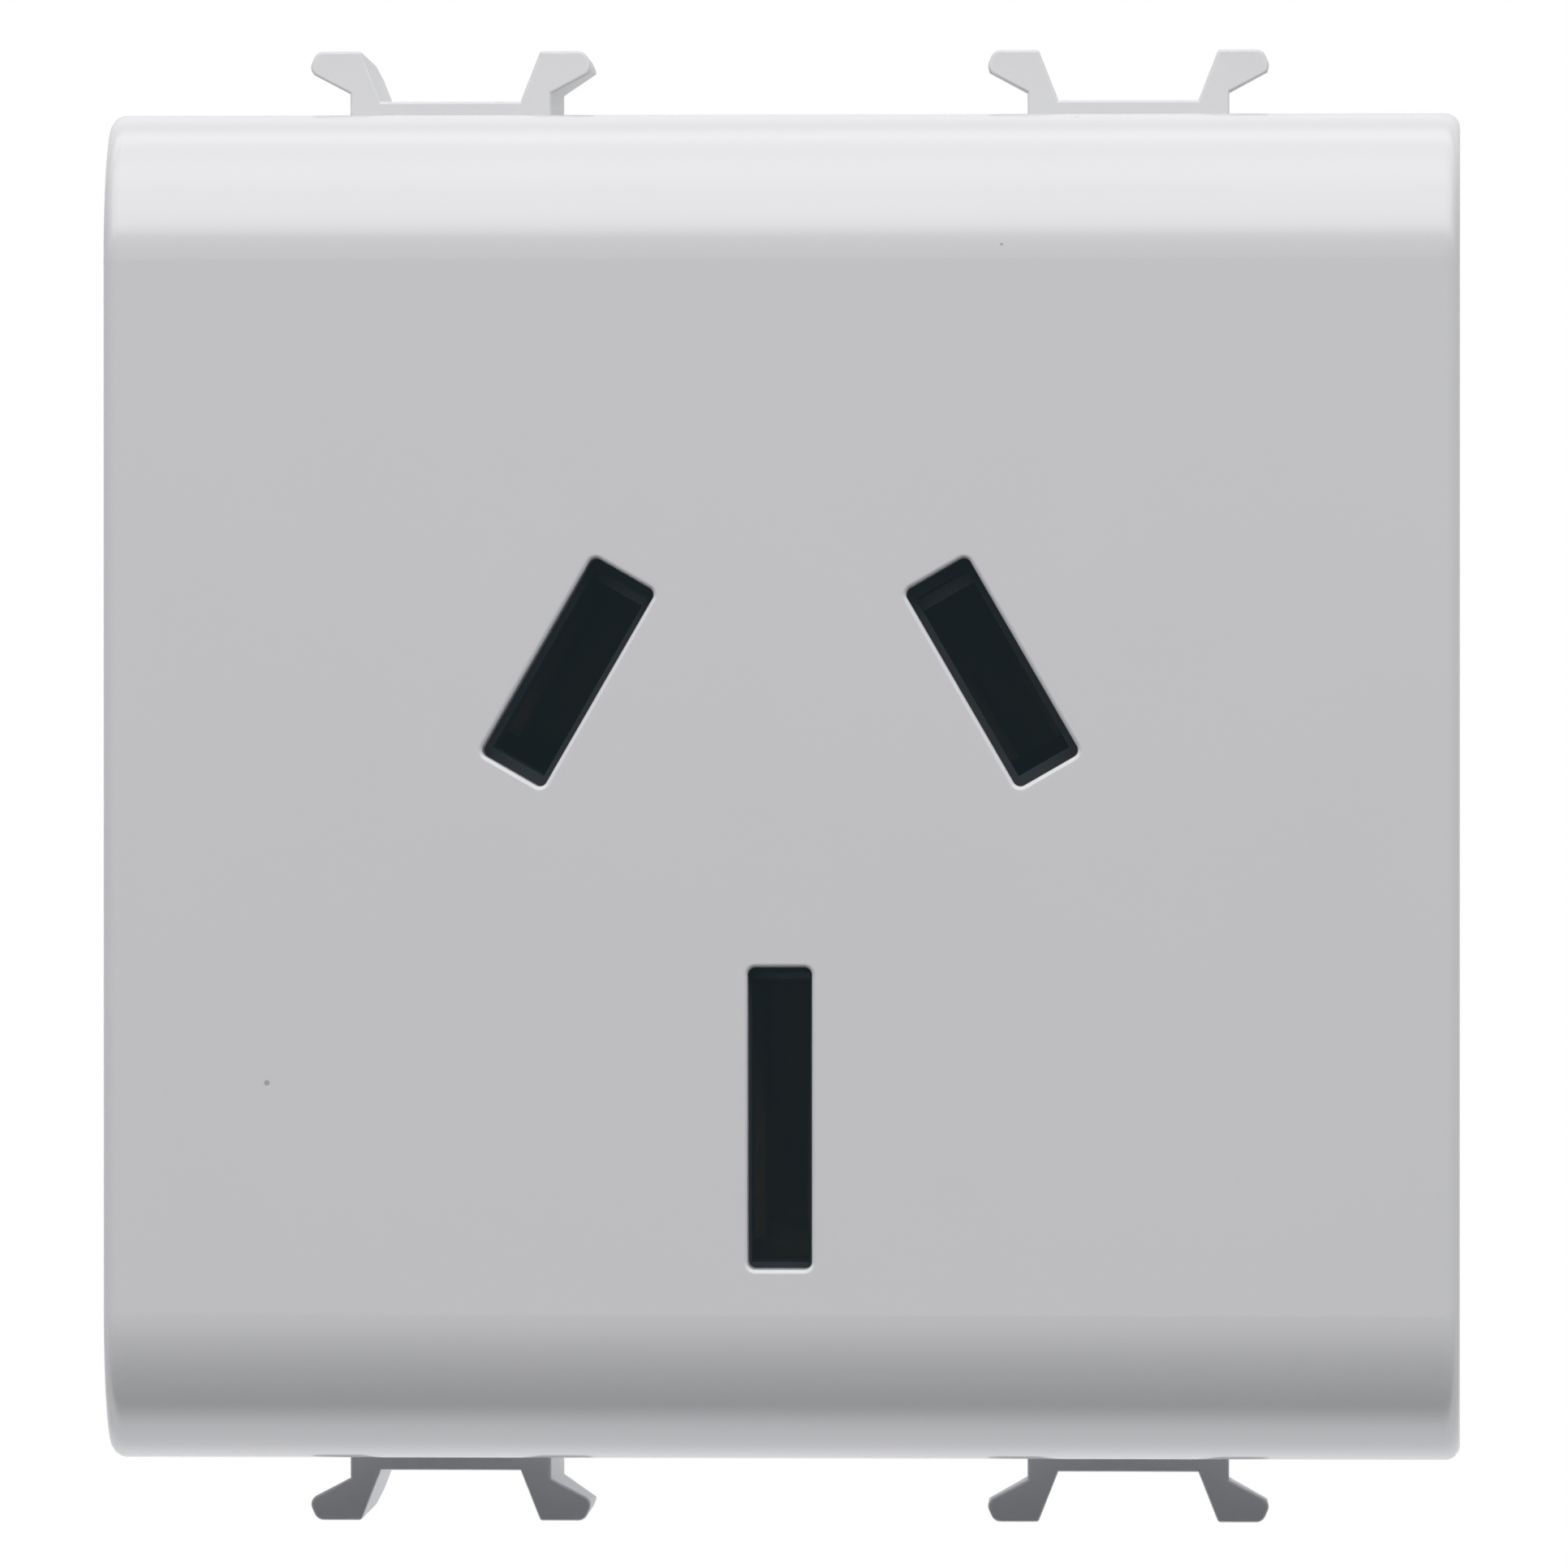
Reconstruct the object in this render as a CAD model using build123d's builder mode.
from build123d import *
import os
from math import cos, radians, sin, tan
from typing import NamedTuple

# Modular two-module socket outlet for flat-blade plugs, in millimetres.
# +X is to the right and +Z up, seen from the front, and +Y points rearwards, into the wall.
# The origin is the centre of the seat, which is the plane of the cover's rear rim.

# Front cover
face_width = 44.3
face_height = 44.0
cover_depth = 7.0
dome_radius = 4.95
edge_radius = 0.5
side_draft = 2.0
face_wall = 2.0
side_wall = 1.95
end_wall = 1.9

# Plug blades, and the slots that take them
blade_thickness = 1.6
live_blade_width = 6.35
earth_blade_width = 9.08
earth_blade_length = 20.0
blade_pitch = 13.7
slot_row_spacing = 14.4
earth_slot_margin = 11.3
slot_tilt = 30
live_slot_play = (0.75, 1.0)
earth_slot_play = (0.47, 0.67)
slot_corner = 0.25
slot_edge = 0.15

# Raised pads of the contact carrier, sunk in pockets behind the slots
pad_margin = 1.6
pad_corner = 0.8
pad_height = 0.8
pad_clearance = 0.15
guide_play = 0.3

# Screw bosses of the cover and lugs of the chassis, at the four corners
boss_radius = 2.6
boss_reach = 2.0
pilot_depth = 6.6
lug_half = 3.4
lug_thickness = 2.0

# Mounting chassis, a ring nested in the cover's skirt
nest_clearance = 0.2
ring_wall = 1.6
ring_corner = 1.0
ring_rear = 10.2

# Split clips on the ring, two above and two below. Heights are from the centre of the face.
module_pitch = 22.5
clip_front = 2.2
clip_rear_margin = 0.2
hook_depth = 3.4
hook_draft = 0.055
neck_half = 3.34
neck_top = 22.99
wing_half = 4.75
wing_low = 23.73
prong_top = 24.41
prong_outer_half = 4.45
prong_inner_half = 2.98
bar_half = 2.32
bar_top = 22.74
tip_radius = 0.34
inner_radius = 0.12
clip_edge_radius = 0.1
ramp_length = 1.6
ramp_rise = 0.45

# Relief notches in the cover's lower edge, beside each lower clip
notch_offset = 3.4
notch_width = 2.3
notch_depth = 0.12

# Contact carrier
carrier_clearance = 0.2
carrier_side_gap = 0.4
carrier_dome_gap = 0.05
carrier_floor = 1.8
carrier_wall = 1.2

# Rear base
base_clearance = 0.2
base_wall = 1.6
base_corner = 2.0
base_rear = 29.4
rear_wall = 1.8
rear_edge_radius = 0.8
barrier_thickness = 1.2
barrier_clearance = 0.2

# Contacts, bent from sheet
contact_sheet = 0.8
contact_inset = 0.4
grip_half = 0.7
lip_half = 1.5
lip_front = -2.4
grip_front = -0.4
grip_rear = 4.4
tip_clearance = 0.3
tail_width = 5.0
pocket_half_width = 2.6
pocket_end_room = 0.9

# Steel springs round the contacts
spring_sheet = 0.4
spring_clearance = 0.03
spring_end_gap = 0.2
spring_front = 0.2
spring_height = 3.6

# Terminal blocks, their screws, and the feet that press on the wire
block_width = 8.0
block_length = 8.2
block_clearance = 0.1
block_chamfer = 0.3
well_wall = 1.2
wire_radius = 2.1
wire_wall = 1.6
thread_wall = 3.7
entry_radius = 2.5
entry_chamfer = 0.7
rivet_radius = 1.0
rivet_inset = 2.0
fit_clearance = 0.05
screw_radius = 2.0
screw_travel = 2.8
screw_head_radius = 2.9
screw_head_height = 2.2
screw_slot_width = 0.8
screw_slot_depth = 1.1
driver_clearance = 0.3
foot_height = 1.2
foot_clearance = 0.1
spigot_radius = 0.8
spigot_length = 0.7

# Assembly screws, driven from the rear into the cover's bosses
fixing_radius = 1.45
fixing_hole_play = 0.15
fixing_head_radius = 2.75
fixing_head_height = 1.8
fixing_head_depth = 2.2
fixing_recess_width = 0.7
fixing_recess_length = 3.2
fixing_recess_depth = 1.0
fixing_tip_gap = 0.2

# Depths along Y that several pieces share
face_y = -cover_depth
side_lean = cover_depth * tan(radians(side_draft))
cover_inner_y = face_y + face_wall
dome_centre_y = face_y + dome_radius
pad_y = cover_inner_y - pad_height
lug_rear = boss_reach + lug_thickness
carrier_floor_y = cover_inner_y + carrier_floor
block_front = face_y + earth_blade_length + tip_clearance + contact_sheet
wire_y = block_front + wire_wall + wire_radius
block_rear = wire_y + wire_radius + thread_wall
foot_front = wire_y + wire_radius + foot_clearance
foot_rear = foot_front + foot_height
head_front = block_rear + foot_clearance + screw_travel
base_inner_y = base_rear - rear_wall
fixing_head_y = base_rear - fixing_head_depth
fixing_tip_y = boss_reach - pilot_depth + fixing_tip_gap

# Heights of the slots, of their middle, and outlines across Y that several pieces share
earth_slot_z = earth_slot_margin - face_height / 2
live_slot_z = earth_slot_z + slot_row_spacing
barrier_z = (live_slot_z + earth_slot_z) / 2
cover_inner_width = face_width - 2 * side_wall
cover_inner_height = face_height - 2 * end_wall
ring_width = cover_inner_width - 2 * nest_clearance
ring_height = cover_inner_height - 2 * nest_clearance
ring_inner_width = ring_width - 2 * ring_wall
ring_inner_height = ring_height - 2 * ring_wall
boss_x = ring_inner_width / 2 - lug_half
boss_z = ring_inner_height / 2 - lug_half
carrier_width = ring_inner_width - 2 * carrier_side_gap
carrier_height = cover_inner_height - 2 * (dome_radius - face_wall + carrier_dome_gap)
base_width = ring_inner_width - 2 * base_clearance
base_height = ring_inner_height - 2 * base_clearance
base_inner_width = base_width - 2 * base_wall
base_inner_height = base_height - 2 * base_wall
block_z = base_inner_height / 2 - block_clearance - block_length / 2
rivet_z = block_z - block_length / 2 + rivet_inset
tail_end_z = block_z + block_length / 2 - rivet_inset


class Pole(NamedTuple):
    """One pole of the outlet. turn is the slot's angle from upright, slot_play its room across and along the
    blade, and side is 1 for a wire from above."""

    name: str
    x: float
    z: float
    turn: float
    blade_width: float
    slot_play: tuple[float, float]
    side: int


poles = (
    Pole("active", -blade_pitch / 2, live_slot_z, -slot_tilt, live_blade_width, live_slot_play, 1),
    Pole("neutral", blade_pitch / 2, live_slot_z, slot_tilt, live_blade_width, live_slot_play, 1),
    Pole("earth", 0, earth_slot_z, 0, earth_blade_width, earth_slot_play, -1),
)

corners = {
    "top_left": (-boss_x, boss_z),
    "top_right": (boss_x, boss_z),
    "bottom_left": (-boss_x, -boss_z),
    "bottom_right": (boss_x, -boss_z),
}

os.makedirs("parts", exist_ok=True)


def facing_front(y):
    """Plane at depth y with X to the right and Z up. Extruding by -d goes d rearwards."""
    return Plane.XZ.offset(-y)


def facing_slot(pole, y):
    """Plane at depth y on a slot's centre, with X across the blade and Y along its width."""
    across = (cos(radians(pole.turn)), 0, sin(radians(pole.turn)))
    return Plane(origin=(pole.x, y, pole.z), x_dir=across, z_dir=(0, -1, 0))


def along_blade(pole):
    """Plane through a slot's centre, with X across the blade and Y rearwards."""
    across = (cos(radians(pole.turn)), 0, sin(radians(pole.turn)))
    lengthwise = (-sin(radians(pole.turn)), 0, cos(radians(pole.turn)))
    return Plane(origin=(pole.x, 0, pole.z), x_dir=across, z_dir=lengthwise)


def on_terminal(pole, y):
    """Plane at depth y on the axis of a pole's terminal screw, with Y towards the wire's side."""
    return Plane(origin=(pole.x, y, pole.side * block_z), x_dir=(pole.side, 0, 0), z_dir=(0, -1, 0))


def along_wire(pole, z):
    """Plane across a pole's wire at height z, with its normal towards the wire's side."""
    return Plane(origin=(pole.x, wire_y, pole.side * z), z_dir=(0, 0, pole.side))


def slot_size(pole):
    """Width and length of a pole's slot in the cover."""
    width_play, length_play = pole.slot_play
    return blade_thickness + width_play, pole.blade_width + length_play


def pad_size(pole, clearance):
    """Width and length of the carrier's pad behind a slot, or of its pocket with a clearance."""
    width, length = slot_size(pole)
    return width + 2 * (pad_margin + clearance), length + 2 * (pad_margin + clearance)


def contact_length(pole):
    """Length of a contact along its slot."""
    return pole.blade_width - 2 * contact_inset


# Front cover: one moulding, domed above and below, with sides that lean in towards the face
with BuildPart() as front_cover:
    with BuildSketch(Plane.YZ.offset(-face_width / 2)) as side_profile:
        with Locations((-cover_depth / 2, 0)):
            Rectangle(cover_depth, face_height)
        fillet(side_profile.vertices().group_by(Axis.X)[0], radius=dome_radius)
    extrude(amount=face_width)
    with BuildSketch(Plane.XY.offset(-face_height / 2)):
        with BuildLine():
            Polyline(
                (-face_width / 2, 0),
                (-face_width / 2 + side_lean, face_y),
                (face_width / 2 - side_lean, face_y),
                (face_width / 2, 0),
                close=True,
            )
        make_face()
    extrude(amount=face_height, mode=Mode.INTERSECT)
    end_faces = front_cover.faces().sort_by(Axis.X)
    end_edges = end_faces[0].edges() + end_faces[-1].edges()
    fillet(end_edges - end_edges.group_by(Axis.Y)[-1], radius=edge_radius)

    with BuildSketch(Plane.YZ.offset(-cover_inner_width / 2)) as cavity_profile:
        with Locations((cover_inner_y / 2, 0)):
            Rectangle(-cover_inner_y, cover_inner_height)
        fillet(cavity_profile.vertices().group_by(Axis.X)[0], radius=dome_radius - face_wall)
    extrude(amount=cover_inner_width, mode=Mode.SUBTRACT)

    with BuildSketch(facing_front(cover_inner_y)):
        with GridLocations(2 * boss_x, 2 * boss_z, 2, 2):
            Circle(boss_radius)
    extrude(amount=-(boss_reach - cover_inner_y))
    with BuildSketch(facing_front(boss_reach)):
        with GridLocations(2 * boss_x, 2 * boss_z, 2, 2):
            Circle(fixing_radius + fit_clearance)
    extrude(amount=pilot_depth, mode=Mode.SUBTRACT)

    for pole in poles:
        with BuildSketch(facing_slot(pole, face_y)):
            RectangleRounded(*slot_size(pole), slot_corner)
        extrude(amount=-face_wall, mode=Mode.SUBTRACT)
    fillet(front_cover.faces().sort_by(Axis.Y)[0].inner_wires().edges(), radius=slot_edge)
    for pole in poles:
        with BuildSketch(facing_slot(pole, cover_inner_y)):
            RectangleRounded(*pad_size(pole, pad_clearance), pad_corner + pad_clearance)
        extrude(amount=pad_height, mode=Mode.SUBTRACT)

    with BuildSketch(facing_front(0)):
        with Locations((0, -face_height / 2)):
            with GridLocations(module_pitch, 0, 2, 1):
                with GridLocations(2 * notch_offset, 0, 2, 1):
                    Rectangle(notch_width, 2 * notch_depth)
    extrude(amount=-dome_centre_y, mode=Mode.SUBTRACT)

front_cover.part.label = "front_cover"
export_step(front_cover.part, "parts/front_cover.step")

# Room beside one prong: the wing's underside rises towards the rear, and behind the hook its flank
# closes in on the neck, so that the prong slides into the frame
clip_depth = ring_rear - clip_front - clip_rear_margin
wing_slope = (wing_low - neck_top) / (wing_half - neck_half)
with BuildPart() as prong_room:
    for depth in (0, clip_depth):
        root = neck_top + hook_draft * depth
        with BuildSketch(facing_front(clip_front + depth)):
            with BuildLine():
                Polyline(
                    (neck_half, root),
                    (2 * wing_half, root + wing_slope * (2 * wing_half - neck_half)),
                    (2 * wing_half, ring_height / 2),
                    (neck_half, ring_height / 2),
                    close=True,
                )
            make_face()
    loft(ruled=True)
    with BuildSketch(Plane.XY.offset(ring_height / 2)):
        with BuildLine():
            Polyline(
                (wing_half, clip_front + hook_depth),
                (2 * wing_half, clip_front + hook_depth),
                (2 * wing_half, clip_front + clip_depth),
                (neck_half, clip_front + clip_depth),
                close=True,
            )
        make_face()
    extrude(amount=prong_top - ring_height / 2)

# Split clip: two prongs on a bar, on a neck that starts in the middle of the ring's wall
with BuildPart() as split_clip:
    with BuildSketch(facing_front(clip_front)) as clip_outline:
        with BuildLine():
            Polyline(
                (0, ring_height / 2 - ring_wall / 2),
                (neck_half, ring_height / 2 - ring_wall / 2),
                (neck_half, neck_top),
                (wing_half, wing_low),
                (prong_outer_half, prong_top),
                (prong_inner_half, prong_top),
                (bar_half, bar_top),
                (0, bar_top),
            )
            mirror(about=Plane.YZ)
        make_face()
        wing_corners = clip_outline.vertices().filter_by(lambda corner: abs(corner.X) > neck_half)
        fillet(wing_corners, radius=tip_radius)
        prong_corners = clip_outline.vertices().group_by(Axis.Y)[-1]
        fillet(prong_corners.filter_by(lambda corner: abs(corner.X) < neck_half), radius=inner_radius)
    extrude(amount=-clip_depth)
    with BuildSketch(Plane.YZ.offset(-wing_half)):
        with BuildLine():
            Polyline(
                (clip_front + clip_depth - ramp_length, prong_top),
                (clip_front + clip_depth, prong_top - ramp_rise),
                (clip_front + clip_depth, prong_top),
                close=True,
            )
        make_face()
    extrude(amount=2 * wing_half, mode=Mode.SUBTRACT)
    fillet(split_clip.faces().sort_by(Axis.Y)[0].edges(), radius=clip_edge_radius)
    add(prong_room.part, mode=Mode.SUBTRACT)
    add(mirror(prong_room.part, about=Plane.YZ), mode=Mode.SUBTRACT)

# Mounting chassis: the ring, four corner lugs and four split clips in one moulding
with BuildPart() as mounting_chassis:
    with BuildSketch(facing_front(dome_centre_y)):
        RectangleRounded(ring_width, ring_height, ring_corner)
        Rectangle(ring_inner_width, ring_inner_height, mode=Mode.SUBTRACT)
    extrude(amount=-(ring_rear - dome_centre_y))
    with BuildSketch(facing_front(boss_reach)):
        RectangleRounded(ring_width, ring_height, ring_corner)
        Rectangle(ring_inner_width, 2 * (boss_z - lug_half), mode=Mode.SUBTRACT)
        Rectangle(2 * (boss_x - lug_half), ring_inner_height, mode=Mode.SUBTRACT)
        with GridLocations(2 * boss_x, 2 * boss_z, 2, 2):
            Circle(fixing_radius + fixing_hole_play, mode=Mode.SUBTRACT)
    extrude(amount=-lug_thickness)
    for x in (-module_pitch / 2, module_pitch / 2):
        add(split_clip.part.moved(Location((x, 0, 0))))
        add(split_clip.part.moved(Location((x, 0, 0), (0, 180, 0))))

mounting_chassis.part.label = "mounting_chassis"
export_step(mounting_chassis.part, "parts/mounting_chassis.step")

# Contact carrier: a cross-shaped tray that clears the corner lugs, with a chamber for each contact
with BuildPart() as contact_carrier:
    with BuildSketch(facing_front(cover_inner_y)) as tray_outline:
        Rectangle(carrier_width, 2 * (boss_z - lug_half - carrier_clearance))
        Rectangle(2 * (boss_x - lug_half - carrier_clearance), carrier_height)
    extrude(amount=-(lug_rear - cover_inner_y))
    with BuildSketch(facing_front(carrier_floor_y)):
        add(tray_outline.sketch_local)
        offset(amount=-carrier_wall, kind=Kind.INTERSECTION, mode=Mode.REPLACE)
    extrude(amount=-(lug_rear - carrier_floor_y), mode=Mode.SUBTRACT)

    for pole in poles:
        pocket_length = contact_length(pole) + 2 * pocket_end_room
        with BuildSketch(facing_slot(pole, carrier_floor_y)):
            Rectangle(2 * (pocket_half_width + carrier_wall), pocket_length + 2 * carrier_wall)
            Rectangle(2 * pocket_half_width, pocket_length, mode=Mode.SUBTRACT)
        extrude(amount=-(lug_rear - carrier_floor_y))
        with BuildSketch(facing_slot(pole, cover_inner_y)):
            RectangleRounded(*pad_size(pole, 0), pad_corner)
        extrude(amount=pad_height)
        with BuildSketch(facing_slot(pole, pad_y)):
            Rectangle(blade_thickness + guide_play, pole.blade_width + guide_play)
        extrude(amount=-(carrier_floor_y - pad_y), mode=Mode.SUBTRACT)

contact_carrier.part.label = "contact_carrier"
export_step(contact_carrier.part, "parts/contact_carrier.step")

# Rear base: a box open to the front, with corner columns and a well for each terminal block
with BuildPart() as rear_base:
    with BuildSketch(facing_front(lug_rear)):
        RectangleRounded(base_width, base_height, base_corner)
    extrude(amount=-(base_rear - lug_rear))
    fillet(rear_base.faces().sort_by(Axis.Y)[-1].edges(), radius=rear_edge_radius)
    with BuildSketch(facing_front(lug_rear)):
        Rectangle(base_inner_width, 2 * (boss_z - lug_half))
        Rectangle(2 * (boss_x - lug_half), base_inner_height)
    extrude(amount=-(base_inner_y - lug_rear), mode=Mode.SUBTRACT)

    # Barriers between the poles
    with BuildSketch(facing_front(lug_rear + barrier_clearance)):
        with Locations((0, (base_inner_height / 2 + barrier_z) / 2)):
            Rectangle(barrier_thickness, base_inner_height / 2 - barrier_z)
        with Locations((0, barrier_z)):
            Rectangle(base_inner_width, barrier_thickness)
    extrude(amount=-(base_inner_y - lug_rear - barrier_clearance))

    # Wells, with a hole for the screwdriver from the rear and one for the wire from the side
    for pole in poles:
        well_width = block_width + 2 * block_clearance
        well_length = block_length + 2 * block_clearance
        with BuildSketch(on_terminal(pole, block_front)):
            Rectangle(well_width + 2 * well_wall, well_length + 2 * well_wall)
        extrude(amount=-(base_inner_y - block_front))
        with BuildSketch(on_terminal(pole, block_front)):
            Rectangle(well_width, well_length)
        extrude(amount=-(block_rear - block_front), mode=Mode.SUBTRACT)
        with BuildSketch(on_terminal(pole, block_rear)):
            Circle(screw_head_radius + driver_clearance)
        extrude(amount=-(base_rear - block_rear), mode=Mode.SUBTRACT)
        with BuildSketch(along_wire(pole, base_height / 2)):
            Circle(entry_radius)
        extrude(amount=-(base_height / 2 - block_z), mode=Mode.SUBTRACT)
        outer_face = rear_base.faces().sort_by(Axis.Z)[-1 if pole.side > 0 else 0]
        new_mouth = outer_face.inner_wires().sort_by(Axis.X)[-1 if pole.x > 0 else 0]
        chamfer(new_mouth.edges(), length=entry_chamfer)

    # Holes for the assembly screws
    with BuildSketch(facing_front(lug_rear)):
        with GridLocations(2 * boss_x, 2 * boss_z, 2, 2):
            Circle(fixing_radius + fixing_hole_play)
    extrude(amount=-(base_rear - lug_rear), mode=Mode.SUBTRACT)
    with BuildSketch(facing_front(base_rear)):
        with GridLocations(2 * boss_x, 2 * boss_z, 2, 2):
            Circle(fixing_head_radius + fixing_hole_play)
    extrude(amount=fixing_head_depth, mode=Mode.SUBTRACT)

rear_base.part.label = "rear_base"
export_step(rear_base.part, "parts/rear_base.step")

for pole in poles:
    # Contact: two sprung leaves on a plate, whose tail lies on the terminal block
    with BuildPart() as contact:
        with BuildSketch(along_blade(pole)):
            with BuildLine():
                Polyline(
                    (lip_half, lip_front),
                    (grip_half, grip_front),
                    (grip_half, grip_rear),
                    (lip_half, block_front),
                    (lip_half + contact_sheet, block_front),
                    (grip_half + contact_sheet, grip_rear),
                    (grip_half + contact_sheet, grip_front),
                    (lip_half + contact_sheet, lip_front),
                    close=True,
                )
            make_face()
            mirror(about=Plane.YZ)
        extrude(amount=contact_length(pole) / 2, both=True)
        with BuildSketch(facing_slot(pole, block_front)):
            Rectangle(2 * (lip_half + contact_sheet), contact_length(pole))
        extrude(amount=contact_sheet)
        with BuildSketch(facing_front(block_front)):
            with Locations((pole.x, (pole.z + pole.side * tail_end_z) / 2)):
                Rectangle(tail_width, abs(tail_end_z - pole.side * pole.z))
        extrude(amount=contact_sheet)
        with BuildSketch(on_terminal(pole, block_front)):
            with Locations((0, rivet_z - block_z)):
                Circle(rivet_radius + fit_clearance)
        extrude(amount=contact_sheet, mode=Mode.SUBTRACT)
    contact.part.label = f"contact_{pole.name}"
    export_step(contact.part, f"parts/contact_{pole.name}.step")

    # Spring: a steel band bent round one end of the contact, pressing its leaves together
    with BuildPart() as spring:
        inner_width = 2 * (grip_half + contact_sheet + spring_clearance)
        with BuildSketch(facing_slot(pole, spring_front)):
            with Locations((0, spring_end_gap + spring_sheet)):
                Rectangle(inner_width + 2 * spring_sheet, contact_length(pole))
            with Locations((0, spring_end_gap)):
                Rectangle(inner_width, contact_length(pole), mode=Mode.SUBTRACT)
        extrude(amount=-spring_height)
    spring.part.label = f"spring_{pole.name}"
    export_step(spring.part, f"parts/spring_{pole.name}.step")

    # Terminal block: a brass bar with a wire bore from its side and a threaded hole from the rear
    with BuildPart() as block:
        with BuildSketch(on_terminal(pole, block_front)):
            Rectangle(block_width, block_length)
        extrude(amount=-(block_rear - block_front))
        chamfer(block.edges().filter_by(Axis.Y), length=block_chamfer)
        with BuildSketch(along_wire(pole, block_z)):
            Circle(wire_radius)
        extrude(amount=block_length / 2, both=True, mode=Mode.SUBTRACT)
        with BuildSketch(on_terminal(pole, block_rear)):
            Circle(screw_radius + fit_clearance)
        extrude(amount=block_rear - wire_y, mode=Mode.SUBTRACT)
        with BuildSketch(on_terminal(pole, block_front)):
            with Locations((0, rivet_z - block_z)):
                Circle(rivet_radius)
        extrude(amount=contact_sheet)
    block.part.label = f"terminal_block_{pole.name}"
    export_step(block.part, f"parts/terminal_block_{pole.name}.step")

    # Clamp foot: the swivelling tip that presses on the wire
    with BuildPart() as foot:
        with BuildSketch(on_terminal(pole, foot_front)):
            Circle(screw_radius)
        extrude(amount=-foot_height)
        with BuildSketch(on_terminal(pole, foot_rear)):
            Circle(spigot_radius + fit_clearance)
        extrude(amount=spigot_length + fit_clearance, mode=Mode.SUBTRACT)
    foot.part.label = f"clamp_foot_{pole.name}"
    export_step(foot.part, f"parts/clamp_foot_{pole.name}.step")

    # Terminal screw, backed out so that the wire bore is open
    with BuildPart() as screw:
        with BuildSketch(on_terminal(pole, foot_rear + fit_clearance)):
            Circle(screw_radius)
        extrude(amount=-(head_front - foot_rear - fit_clearance))
        with BuildSketch(on_terminal(pole, foot_rear + fit_clearance)):
            Circle(spigot_radius)
        extrude(amount=spigot_length)
        with BuildSketch(on_terminal(pole, head_front)):
            Circle(screw_head_radius)
        extrude(amount=-screw_head_height)
        with BuildSketch(on_terminal(pole, head_front + screw_head_height)):
            Rectangle(2 * screw_head_radius, screw_slot_width)
        extrude(amount=screw_slot_depth, mode=Mode.SUBTRACT)
    screw.part.label = f"terminal_screw_{pole.name}"
    export_step(screw.part, f"parts/terminal_screw_{pole.name}.step")

# Assembly screws, one at each corner
for corner, place in corners.items():
    with BuildPart() as fixing:
        with BuildSketch(facing_front(fixing_tip_y)):
            with Locations(place):
                Circle(fixing_radius)
        extrude(amount=-(fixing_head_y - fixing_tip_y))
        with BuildSketch(facing_front(fixing_head_y)):
            with Locations(place):
                Circle(fixing_head_radius)
        extrude(amount=-fixing_head_height)
        with BuildSketch(facing_front(fixing_head_y + fixing_head_height)):
            with Locations(place):
                Rectangle(fixing_recess_length, fixing_recess_width)
                Rectangle(fixing_recess_width, fixing_recess_length)
        extrude(amount=fixing_recess_depth, mode=Mode.SUBTRACT)
    fixing.part.label = f"assembly_screw_{corner}"
    export_step(fixing.part, f"parts/assembly_screw_{corner}.step")
